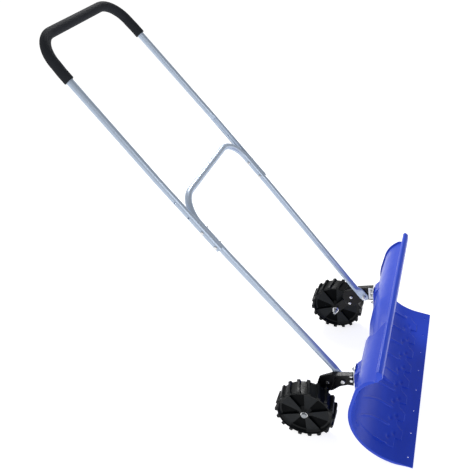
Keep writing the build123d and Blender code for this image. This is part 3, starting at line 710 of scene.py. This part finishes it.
def cut(piece, punch):
    """Takes the punch's volume out of the piece and removes the punch."""
    modifier = piece.modifiers.new("holes", "BOOLEAN")
    modifier.operation = "DIFFERENCE"
    modifier.solver = "EXACT"
    modifier.object = punch
    bpy.context.view_layer.update()
    depsgraph = bpy.context.evaluated_depsgraph_get()
    mesh = bpy.data.meshes.new_from_object(piece.evaluated_get(depsgraph))
    piece.modifiers.clear()
    old, piece.data = piece.data, mesh
    bpy.data.meshes.remove(old)
    bpy.data.objects.remove(punch)
    finish_mesh(mesh, CUT_CRISP)


def make_blade():
    """The blade, with the row of holes along its cutting edge."""
    stations = blade_stations()
    solid = Solid()
    solid.loft([blade_ring(x, stations) for x in blade_columns()])
    blade = solid.make("blade_shell", BLUE, CUT_CRISP)
    punch = Solid()
    for x in steps(-EDGE_HOLE_SPAN / 2, EDGE_HOLE_SPAN / 2, EDGE_HOLES - 1):
        centre = Matrix.Translation(place(x, EDGE_HOLE_SETBACK, 0.0)) @ Matrix.Scale(MM, 4)
        punch_hole(punch, centre, EDGE_HOLE_RADIUS)
    cut(blade, punch.make("edge_hole_punch", BLUE))
    return show(blade, "base", "blade_plastic", "blade")


# -------- wheels
LUGS = 18
LUG_SHEAR = 8.5                # degrees that a lug runs round the wheel between its two ends
LUG_FLANKS = (2.3, 3.3)        # degrees from the middle of a lug to its top edge and to its foot
LUG_WIDENING = 0.35
LUG_WIDENS = (19.0, 27.0)      # distances from the middle of the tread
LUG_SHOULDER = 27.0            # past this the lugs reach out to the full width of the wheel
WHEEL_HALF = 29.6
SECTORS = 5
SECTOR_PHASE = -16.0
AXLE_RADIUS = 6.05
# (across, rim radius, height of a lug there), from the outer shoulder to the middle of the tread
TREAD_ROWS = (
    (28.4, 88.4, 0.0),
    (28.6, 89.8, 6.4),
    (27.6, 91.0, 7.4),
    (25.0, 91.0, 8.0),
    (18.0, 91.0, 8.0),
    (10.0, 91.0, 8.0),
    (0.0, 91.0, 8.0),
)
RIM_ROWS = ((27.8, 87.2), (24.0, 86.6), (0.0, 86.2))
# (radius, raised face, recessed face), from the rim to the hub
DISC_ROWS = (
    (87.6, 24.6, 24.4),
    (86.3, 24.9, 23.8),
    (84.2, 24.0, 18.0),
    (79.0, 20.6, 15.6),
    (77.0, 20.4, 15.2),
    (60.0, 21.0, 15.4),
    (40.0, 21.9, 15.8),
    (25.0, 22.8, 16.6),
    (20.5, 23.6, 19.5),
    (17.0, 25.6, 24.6),
    (14.2, 28.8, 28.4),
    (12.8, 29.6, 29.6),
    (8.0, 29.6, 29.6),
    (AXLE_RADIUS, 29.3, 29.3),
)
LUG_OFFSETS = (-10.0, -7.0, -4.6, -3.5, -2.9, -2.1, 0.0, 2.1, 2.9, 3.5, 4.6, 7.0)
SECTOR_OFFSETS = (-0.9, 0.9, 9.0, 18.0, 27.0, 35.1, 36.9, 45.0, 54.0, 63.0)
SUNKEN = range(1, 6)           # the offsets that lie in the sunken half
FACE_INNER, FACE_OUTER = 24.0, 79.5
FACE_LEVEL = 19.9              # between the raised and the sunken faces


def wheel_place(centre, side, across, radius, angle):
    """A point of a wheel: across is measured outwards from its middle."""
    turn = radians(angle)
    x, y, z = centre
    return place(x + side * across, y + radius * cos(turn), z + radius * sin(turn))


def make_tread(centre, side):
    """The drum and its slanted lugs, which widen and wrap over the shoulders."""
    rows = [(u, r, h, 1) for u, r, h in TREAD_ROWS]
    rows += [(-u, r, h, 1) for u, r, h in TREAD_ROWS[-2::-1]]
    rows += [(-u, r, 0.0, 0) for u, r in RIM_ROWS]
    rows += [(u, r, 0.0, 0) for u, r in RIM_ROWS[-2::-1]]
    rings = []
    for across, radius, height, tread in rows:
        ring = []
        widening = 1 + LUG_WIDENING * ramp(*LUG_WIDENS, abs(across))
        lug_top, lug_foot = (flank * widening for flank in LUG_FLANKS)
        for lug in range(LUGS):
            for offset in LUG_OFFSETS:
                stand = 1 - ramp(lug_top, lug_foot, abs(offset))
                angle = lug * 360.0 / LUGS + offset
                angle += LUG_SHEAR / 2 * across / WHEEL_HALF * tread
                reach = across
                if tread and abs(across) > LUG_SHOULDER:
                    reach += copysign((WHEEL_HALF - abs(across)) * stand, across)
                ring.append(wheel_place(centre, side, reach, radius + height * stand, angle))
        rings.append(ring)
    solid = Solid()
    solid.loft(rings, closed=True)
    return solid


def make_disc(centre, side):
    """The side discs: five raised and five sunken sectors round a tapered hub."""
    rows = [(r, raised, sunk, 1) for r, raised, sunk in DISC_ROWS]
    rows += [(r, raised, sunk, -1) for r, raised, sunk in reversed(DISC_ROWS)]
    rings = []
    for radius, raised, sunk, face in rows:
        ring = []
        for sector in range(SECTORS):
            for index, offset in enumerate(SECTOR_OFFSETS):
                across = sunk if index in SUNKEN else raised
                angle = SECTOR_PHASE + sector * 360.0 / SECTORS + offset
                ring.append(wheel_place(centre, side, face * across, radius, angle))
        rings.append(ring)
    solid = Solid()
    solid.loft(rings, closed=True)
    return solid


def paint_sector_light_and_shade(disc, centre):
    """The raised sectors get a paler copy of the plastic as a painted reflection, the sunken ones a
    darker, less shiny copy as painted shade.
    """
    disc.data.materials.append(WHEEL_RAISED_PAINTED_REFLECTION)
    disc.data.materials.append(WHEEL_SUNKEN_PAINTED_SHADE)
    middle = place(*centre)
    for face in disc.data.polygons:
        across = abs(face.center.x - middle.x) / MM
        radius = hypot(face.center.y - middle.y, face.center.z - middle.z) / MM
        # Between these radii each face gets the painted reflection (raised) or the painted shade (sunken).
        if FACE_INNER < radius < FACE_OUTER:
            face.material_index = 1 if across > FACE_LEVEL else 2


def make_wheels():
    """Both wheels, each a tread and a pair of side discs, on their own bodies."""
    for name, side in (("left", 1), ("right", -1)):
        centre = joint_point(f"{name}_wheel_spin")
        tread = make_tread(centre, side).make(f"wheel_tread_{name}", WHEEL, 32.0)
        disc = make_disc(centre, side).make(f"wheel_disc_{name}", WHEEL, 28.0)
        paint_sector_light_and_shade(disc, centre)
        soften(tread, 0.7, 30.0)
        soften(disc, 0.5, 25.0)
        show(tread, f"{name}_wheel", "wheel_plastic", f"wheel_{name}")
        show(disc, f"{name}_wheel", "wheel_plastic")


def soften(piece, width, angle):
    """Rounds the edges of a piece that are sharper than an angle."""
    bevel = piece.modifiers.new("rounded edges", "BEVEL")
    bevel.width = width * MM
    bevel.segments = 2
    bevel.limit_method = "ANGLE"
    bevel.angle_limit = radians(angle)
    bevel.harden_normals = False


# -------- handle
TUBE_RADIUS = 11.0
HANDLE_ANGLE = 55.3
PIVOT_Y, PIVOT_Z = joint_point("handle_tilt")[1:]
CORNER_RADIUS = 85.0
LOWER_FOOT_X = 214.0
LOWER_LEG_X = 231.0
LOWER_SPLAY_END = 558.0
LOWER_TOP = 776.6
FOOT_RELIEF = 0.35             # the leg is this much thinner beside the arm, so that it can tilt
FOOT_RELIEF_END = (100.0, 140.0)   # between these places it grows to its full size
NEST_OFFSET = 10.0
NEST_CLEARANCE = 0.2
NEST_END = 863.0
NEST_BLEND = 16.0
UPPER_END = 596.0
UPPER_WALL_DEPTH = 14.0
UPPER_TAPER_START = 875.0
UPPER_TOP_X = 228.5
UPPER_TOP = 1375.0
GRIP_END = 1236.0
GRIP_RADIUS = 15.94
PADDLE_X = 222.0
PADDLE_HALF_WIDTH = 16.0
PADDLE_HALF_THICKNESS = 2.88
PADDLE_END = 24.0
ROUND_START = 54.0
FREE_HOLES = (730.0, 790.0)
FREE_HOLE_RADIUS = 3.2
RING = 40                      # points round a tube


def handle_place(x, along, out, turn, lift):
    """A point near the handle's plane: out is measured outwards from the U, lift off the plane."""
    rise = radians(HANDLE_ANGLE)
    x += out * cos(radians(turn))
    along += out * sin(radians(turn))
    y = PIVOT_Y + along * cos(rise) - lift * sin(rise)
    z = PIVOT_Z + along * sin(rise) + lift * cos(rise)
    return place(x, y, z)


def circle(radius):
    """Section of a round tube."""
    angles = [2 * pi * k / RING for k in range(RING)]
    return [(radius * cos(a), radius * sin(a)) for a in angles]


def crescent():
    """Section of the upper leg where it is pressed to nest round the lower leg."""
    groove = TUBE_RADIUS + NEST_CLEARANCE
    meet_out = (NEST_OFFSET**2 + TUBE_RADIUS**2 - groove**2) / (2 * NEST_OFFSET)
    meet_lift = sqrt(TUBE_RADIUS**2 - meet_out**2)
    outer_end = degrees(atan2(meet_lift, -meet_out))
    groove_end = degrees(atan2(meet_lift, NEST_OFFSET - meet_out))
    points = []
    for k in range(RING):
        angle = 360.0 * k / RING
        if angle <= outer_end or angle >= 360.0 - outer_end:
            points.append((TUBE_RADIUS * cos(radians(angle)), TUBE_RADIUS * sin(radians(angle))))
            continue
        share = (angle - outer_end) / (360.0 - 2 * outer_end)
        back = radians(groove_end * (1 - 2 * share))
        points.append((groove * cos(back) - NEST_OFFSET, groove * sin(back)))
    return points


def paddle(half_width):
    """Section of the flattened foot of the lower leg."""
    points = []
    for k in range(RING):
        a = 2 * pi * k / RING
        out = copysign(PADDLE_HALF_THICKNESS * abs(cos(a)) ** 0.3, cos(a))
        lift = copysign(half_width * abs(sin(a)) ** 0.45, sin(a))
        points.append((out + PADDLE_X - LOWER_FOOT_X, lift))
    return points


class Tube:
    """Rings along one half of a U, from the end of its leg to its cross-bar."""

    def __init__(self):
        self.rings = []

    def ring(self, x, along, section, turn=0.0):
        """Adds a section, a list of (out, lift), at a place where the tube has turned by an angle."""
        self.rings.append([handle_place(x, along, out, turn, lift) for out, lift in section])

    def leg(self, leg_x, section, *places):
        """Adds a section at several places along the leg."""
        for along in places:
            self.ring(leg_x(along), along, section)

    def bend(self, x, top, section, count):
        """Adds the rings round the bend between the leg and the cross-bar."""
        for turn in steps(0.0, 90.0, count):
            out = CORNER_RADIUS * cos(radians(turn))
            up = CORNER_RADIUS * sin(radians(turn))
            self.ring(x - CORNER_RADIUS + out, top - CORNER_RADIUS + up, section, turn)

    def make(self, name, material, crisp):
        """The whole U: the rings and their mirror image."""
        other = [[Vector((-p.x, p.y, p.z)) for p in ring] for ring in reversed(self.rings)]
        solid = Solid()
        solid.loft(self.rings + other)
        return solid.make(name, material, crisp)


def lower_leg_x(along):
    """The lower legs splay outwards from the foot and then run parallel."""
    share = clamp((along - ROUND_START) / (LOWER_SPLAY_END - ROUND_START))
    return LOWER_FOOT_X + (LOWER_LEG_X - LOWER_FOOT_X) * share


def upper_leg_x(along):
    """The upper legs run parallel over the joint and then lean inwards."""
    start = LOWER_LEG_X + NEST_OFFSET
    share = max((along - UPPER_TAPER_START) / (UPPER_TOP - UPPER_TAPER_START), 0.0)
    return start + (UPPER_TOP_X - start) * share


def make_lower_frame():
    """The lower U, from its rounded, flattened feet to the cross-bar."""
    tube = Tube()
    radius = PADDLE_HALF_WIDTH
    for angle in (2.0, 12.0, 25.0, 40.0, 60.0, 90.0):
        turn = radians(angle)
        tube.ring(LOWER_FOOT_X, -radius * cos(turn), paddle(radius * sin(turn)))
    for along in (8.0, 16.0, PADDLE_END):
        tube.ring(LOWER_FOOT_X, along, paddle(radius))
    foot = circle(TUBE_RADIUS - FOOT_RELIEF)
    for share in (0.08, 0.2, 0.35, 0.5, 0.65, 0.8, 0.92, 1.0):
        along = PADDLE_END + (ROUND_START - PADDLE_END) * share
        tube.ring(LOWER_FOOT_X, along, blend_lists(paddle(radius), foot, ramp(0.0, 1.0, share)))
    full = circle(TUBE_RADIUS)
    relief_start, relief_end = FOOT_RELIEF_END
    tube.leg(lower_leg_x, foot, 60.0, relief_start)
    tube.leg(lower_leg_x, full, relief_end, 300.0)
    tube.leg(lower_leg_x, full, LOWER_SPLAY_END - 10.0, LOWER_SPLAY_END, LOWER_SPLAY_END + 10.0, 640.0)
    tube.bend(LOWER_LEG_X, LOWER_TOP, full, 24)
    tube.ring(40.0, LOWER_TOP, full, 90.0)
    frame_tube = tube.make("lower_frame_tube", SILVER, 50.0)
    return show(frame_tube, "handle", "tube_metal", "lower_frame")


def make_upper_handle():
    """The upper U, whose legs are pressed to a crescent up to the end of the joint."""
    pressed, full = crescent(), circle(TUBE_RADIUS)
    wall = [(out * 0.86 + 0.7, lift * 0.86) for out, lift in pressed]
    tube = Tube()
    tube.leg(upper_leg_x, wall, UPPER_END + UPPER_WALL_DEPTH, UPPER_END + 0.3)
    tube.leg(upper_leg_x, pressed, UPPER_END, UPPER_END + 1.0, 640.0, 700.0, 760.0, 820.0, NEST_END - 1.0)
    for share in (0.1, 0.25, 0.45, 0.65, 0.82, 0.93, 1.0):
        section = blend_lists(pressed, full, share**0.6)
        tube.leg(upper_leg_x, section, NEST_END + NEST_BLEND * share)
    tube.leg(upper_leg_x, full, 900.0, 1000.0, 1100.0, GRIP_END)
    tube.bend(UPPER_TOP_X, UPPER_TOP, full, 16)
    handle = tube.make("upper_handle_tube", SILVER, 50.0)
    punch = Solid()
    across = Matrix.Rotation(pi / 2, 4, "Y") @ Matrix.Scale(MM, 4)
    for along in FREE_HOLES:
        for side in (-1, 1):
            middle = handle_place(side * upper_leg_x(along), along, 0.0, 0.0, 0.0)
            punch_hole(punch, Matrix.Translation(middle) @ across, FREE_HOLE_RADIUS)
    cut(handle, punch.make("handle_hole_punch", SILVER))
    return show(handle, "handle", "tube_metal", "upper_handle")


def make_grip():
    """The foam sleeve, with a rounded end on each leg."""
    sleeve = Tube()
    rounded_end = ((0.6, 10.6), (0.2, 12.4), (0.0, 14.2), (0.5, 15.3), (2.0, GRIP_RADIUS))
    for along, radius in (*rounded_end, (30.0, GRIP_RADIUS)):
        sleeve.leg(upper_leg_x, circle(radius), GRIP_END + along)
    sleeve.bend(UPPER_TOP_X, UPPER_TOP, circle(GRIP_RADIUS), 30)
    sleeve.ring(60.0, UPPER_TOP, circle(GRIP_RADIUS), 90.0)
    grip = sleeve.make("foam_sleeve", FOAM, 60.0)
    return show(grip, "handle", "grip_foam", "foam_grip")


# -------- fasteners
# Radius of the thread, size over the flats and height of the head
M6 = dict(radius=3.0, flats=10.0, head=4.0)
M8 = dict(radius=4.0, flats=13.0, head=5.3)
M12 = dict(radius=6.0, flats=18.0)
THREAD_LENGTH, THREAD_PITCH = 14.0, 1.0
AXLE_THREAD_LENGTH, AXLE_THREAD_PITCH = 26.0, 1.75
AXLE_HEAD = dict(height=7.5, radius=9.3, side=4.6, dome=2.9)
CARRIAGE_HEAD = dict(radius=7.0, height=3.2)
CHAMFER = 0.577                # tangent of 30 degrees
BORE_CHAMFER = 0.5
HEX_COLUMNS = 36


def hexagon(solid, matrix, flats, low, high, bore=0.0, chamfer_low=False):
    """A hexagonal head or nut with the usual 30 degree chamfer, bored if asked."""
    across = flats / 2
    rim = across * 0.96
    columns = []
    for k in range(HEX_COLUMNS):
        angle = 2 * pi * k / HEX_COLUMNS
        corner = across / cos((angle + pi / 6) % (pi / 3) - pi / 6)
        drop = (corner - rim) * CHAMFER
        profile = [(rim, low), (corner, low + drop)] if chamfer_low else [(corner, low)]
        profile += [(corner, high - drop), (rim, high)]
        if bore:
            wide = bore + BORE_CHAMFER
            profile += [(wide, high), (bore, high - BORE_CHAMFER), (bore, low + BORE_CHAMFER), (wide, low)]
        columns.append([matrix @ Vector((r * cos(angle), r * sin(angle), h)) for r, h in profile])
    solid.loft(list(zip(*columns)), closed=bool(bore))


def along_x(low, high):
    """A frame at the inner end of a fastener, its Z axis pointing outwards along X."""
    side = 1 if low.x > 0 else -1
    start = min(abs(low.x), abs(high.x))
    origin = Vector((side * start * MM, (low.y + high.y) / 2 * MM, (low.z + high.z) / 2 * MM))
    spin = Matrix.Rotation(side * pi / 2, 4, "Y")
    return Matrix.Translation(origin) @ spin @ Matrix.Scale(MM, 4)


def along_y(low, high):
    """A frame at the front of a fastener, its Z axis pointing back along Y."""
    origin = Vector(((low.x + high.x) / 2 * MM, low.y * MM, (low.z + high.z) / 2 * MM))
    return Matrix.Translation(origin) @ Matrix.Rotation(-pi / 2, 4, "X") @ Matrix.Scale(MM, 4)


def zinc_piece(solid, node, body):
    """One zinc-plated piece for all the fasteners of a CAD node."""
    return show(solid.make(f"{node}_zinc", ZINC, 30.0), body, "zinc_fasteners", node)


def thread(radius, length, pitch):
    """Profile of a threaded end, from its chamfered tip."""
    profile = [(radius - 0.9, 0.0), (radius - 0.2, 0.7)]
    height = 0.7
    while height + pitch < length:
        profile += [(radius, height + pitch * 0.25), (radius, height + pitch * 0.4)]
        profile.append((radius - pitch * 0.45, height + pitch * 0.9))
        height += pitch
    return profile + [(radius, length)]


def hex_bolts(node, size, body):
    """Bolts along X, their threads inwards and their heads outwards."""
    solid = Solid()
    for low, high in solids_of(node):
        matrix = along_x(low, high)
        length = high.x - low.x
        seat = length - size["head"]
        shank = thread(size["radius"], THREAD_LENGTH, THREAD_PITCH) + [(size["radius"], seat + 0.5)]
        solid.turn(shank, matrix, 24)
        hexagon(solid, matrix, size["flats"], seat, length)
    return zinc_piece(solid, node, body)


def nuts(node, size, body):
    """Hexagonal nuts on an axis along X."""
    solid = Solid()
    for low, high in solids_of(node):
        matrix = along_x(low, high)
        hexagon(solid, matrix, size["flats"], 0.0, high.x - low.x, size["radius"], True)
    return zinc_piece(solid, node, body)


def ring_profile(inner, outer, thick, edge):
    """Profile of a washer or spacer with its edges broken."""
    return [
        (inner, edge), (inner + edge, 0.0), (outer - edge, 0.0), (outer, edge),
        (outer, thick - edge), (outer - edge, thick), (inner + edge, thick), (inner, thick - edge),
    ]


def rings_x(node, inner, outer, body, edge=0.25):
    """Washers or spacers on an axis along X."""
    solid = Solid()
    for low, high in solids_of(node):
        profile = ring_profile(inner, outer, high.x - low.x, edge)
        solid.turn(profile, along_x(low, high), 40, closed=True)
    return zinc_piece(solid, node, body)


def blade_fasteners():
    """Carriage bolts through the pads, with their washers and nuts."""
    bolts, washers, hexes = Solid(), Solid(), Solid()
    for low, high in solids_of("blade_bolts"):
        profile = []
        for angle in (8, 25, 45, 65, 80, 90):
            radius = CARRIAGE_HEAD["radius"] * sin(radians(angle))
            profile.append((radius, CARRIAGE_HEAD["height"] * (1 - cos(radians(angle)))))
        profile += [(6.6, 3.4), (M6["radius"], 3.5)]
        tip = thread(M6["radius"], THREAD_LENGTH, THREAD_PITCH)
        profile += [(radius, high.y - low.y - height) for radius, height in reversed(tip)]
        bolts.turn(profile, along_y(low, high), 28)
    for low, high in solids_of("blade_washers"):
        profile = ring_profile(M6["radius"], 6.0, high.y - low.y, 0.25)
        washers.turn(profile, along_y(low, high), 36, closed=True)
    for low, high in solids_of("blade_nuts"):
        hexagon(hexes, along_y(low, high), M6["flats"], 0.0, high.y - low.y, M6["radius"], True)
    for solid, node in ((bolts, "blade_bolts"), (washers, "blade_washers"), (hexes, "blade_nuts")):
        zinc_piece(solid, node, "base")


def axle_bolts():
    """The axles: threaded inner ends and grey domed heads outside the wheels."""
    solid = Solid()
    shank = M12["radius"]
    head = AXLE_HEAD["radius"]
    for low, high in solids_of("axle_bolts"):
        seat = high.x - low.x - AXLE_HEAD["height"]
        top = seat + AXLE_HEAD["side"]
        profile = thread(shank, AXLE_THREAD_LENGTH, AXLE_THREAD_PITCH)
        profile += [(shank, seat), (head, seat), (head, top)]
        for angle in (15, 35, 55, 75, 86):
            rise = AXLE_HEAD["dome"] * sin(radians(angle))
            profile.append((head * cos(radians(angle)), top + rise))
        solid.turn(profile, along_x(low, high), 36)
    piece = solid.make("axle_bolts_grey", AXLE_GREY, 35.0)
    return show(piece, "base", "zinc_fasteners", "axle_bolts")


def make_fasteners():
    """Every bolt, nut, washer and spacer, in one piece for each CAD node."""
    blade_fasteners()
    hex_bolts("plate_bolts", M6, "base")
    hex_bolts("wheel_arm_bolts", M6, "base")
    hex_bolts("pivot_bolts", M8, "base")
    hex_bolts("handle_bolts", M6, "handle")
    nuts("plate_nuts", M6, "base")
    nuts("wheel_arm_nuts", M6, "base")
    nuts("pivot_nuts", M8, "base")
    nuts("handle_nuts", M6, "handle")
    nuts("axle_nuts", M12, "base")
    rings_x("pivot_washers", M8["radius"], 8.0, "base")
    rings_x("axle_lock_washers", M12["radius"], 12.0, "base")
    rings_x("axle_outer_washers", M12["radius"], 12.0, "base")
    rings_x("axle_spacers", M12["radius"], 10.0, "base", 0.6)
    axle_bolts()


# -------- brackets
def keep_plate(node, material):
    """A CAD plate stays, with its own finish and slightly rounded edges."""
    plate = frame["nodes"][node]
    plate.data.materials.clear()
    plate.data.materials.append(material)
    weld = plate.modifiers.new("joined", "WELD")
    weld.merge_threshold = 1e-6
    soften(plate, 0.8, 30.0)


def make_brackets():
    """The finishes of the plates between the blade, the wheels and the handle."""
    for side in ("left", "right"):
        keep_plate(f"side_arm_{side}", BLACK)
        keep_plate(f"wheel_arm_{side}", BLACK)
        keep_plate(f"blade_plate_{side}", ZINC_SHEET)


# -------- stage, lights and camera
FLOOR_HALF = 40.0              # metres
FLOOR_TOP = -0.0005
CAMERA_AT = (-1746.2, -120.8, 1691.5)
CAMERA_BACK = (-0.7938, -0.3347, 0.5077)
CAMERA_UP = (0.5244, 0.0459, 0.8502)
CAMERA_SENSOR, CAMERA_LENS = 36.0, 49.88


def make_floor():
    solid = Solid()
    corners = ((-1, -1), (1, -1), (1, 1), (-1, 1))
    solid.verts = [Vector((x * FLOOR_HALF, y * FLOOR_HALF, FLOOR_TOP)) for x, y in corners]
    solid.faces = [(0, 1, 2, 3)]
    solid.make("floor", floor_paper())


def area_light(name, position, target, size, power):
    data = bpy.data.lights.new(name, "AREA")
    data.shape = "RECTANGLE"
    data.size, data.size_y = size
    data.energy = power
    light = bpy.data.objects.new(name, data)
    light.location = position
    light.rotation_mode = "QUATERNION"
    light.rotation_quaternion = (Vector(target) - Vector(position)).to_track_quat("-Z", "Y")
    bpy.context.scene.collection.objects.link(light)


def make_world():
    """A pale room, brighter near the horizon than overhead, and on the handle's side."""
    world = bpy.data.worlds.new("studio")
    world.use_nodes = True
    tree = world.node_tree
    background = tree.nodes["Background"]
    background.inputs["Color"].default_value = (1.0, 1.0, 1.0, 1)
    coords = tree.nodes.new("ShaderNodeTexCoord")
    split = tree.nodes.new("ShaderNodeSeparateXYZ")
    both = tree.nodes.new("ShaderNodeMath")
    both.operation = "MULTIPLY"
    tree.links.new(coords.outputs["Generated"], split.inputs["Vector"])
    upwards = map_range(tree, split.outputs["Z"], 0.05, 0.85, 0.90, 0.60)
    backwards = map_range(tree, split.outputs["Y"], -0.6, 0.4, 0.40, 1.0)
    tree.links.new(upwards, both.inputs[0])
    tree.links.new(backwards, both.inputs[1])
    tree.links.new(both.outputs["Value"], background.inputs["Strength"])
    bpy.context.scene.world = world


def make_lights():
    """A key light high on the left and a soft fill from the front right."""
    make_world()
    area_light("key", (2.3, 1.1, 2.8), (0, -0.2, 0.3), (1.0, 1.0), 75.0)
    area_light("fill", (-2.2, -2.6, 1.8), (0, 0, 0.4), (2.0, 2.0), 30.0)


def make_camera():
    """The viewing position, from the right and slightly in front, looking down."""
    data = bpy.data.cameras.new("camera")
    data.sensor_width = CAMERA_SENSOR
    data.lens = CAMERA_LENS
    camera = bpy.data.objects.new("camera", data)
    back = Vector(CAMERA_BACK).normalized()
    right = Vector(CAMERA_UP).cross(back).normalized()
    up = back.cross(right)
    turn = Matrix((right, up, back)).transposed()
    camera.matrix_world = Matrix.Translation(place(*CAMERA_AT)) @ turn.to_4x4()
    bpy.context.scene.collection.objects.link(camera)
    bpy.context.scene.camera = camera
    bpy.context.scene.view_settings.view_transform = "Standard"


make_camera()
make_lights()
make_floor()
make_blade()
make_brackets()
make_wheels()
make_lower_frame()
make_upper_handle()
make_grip()
make_fasteners()
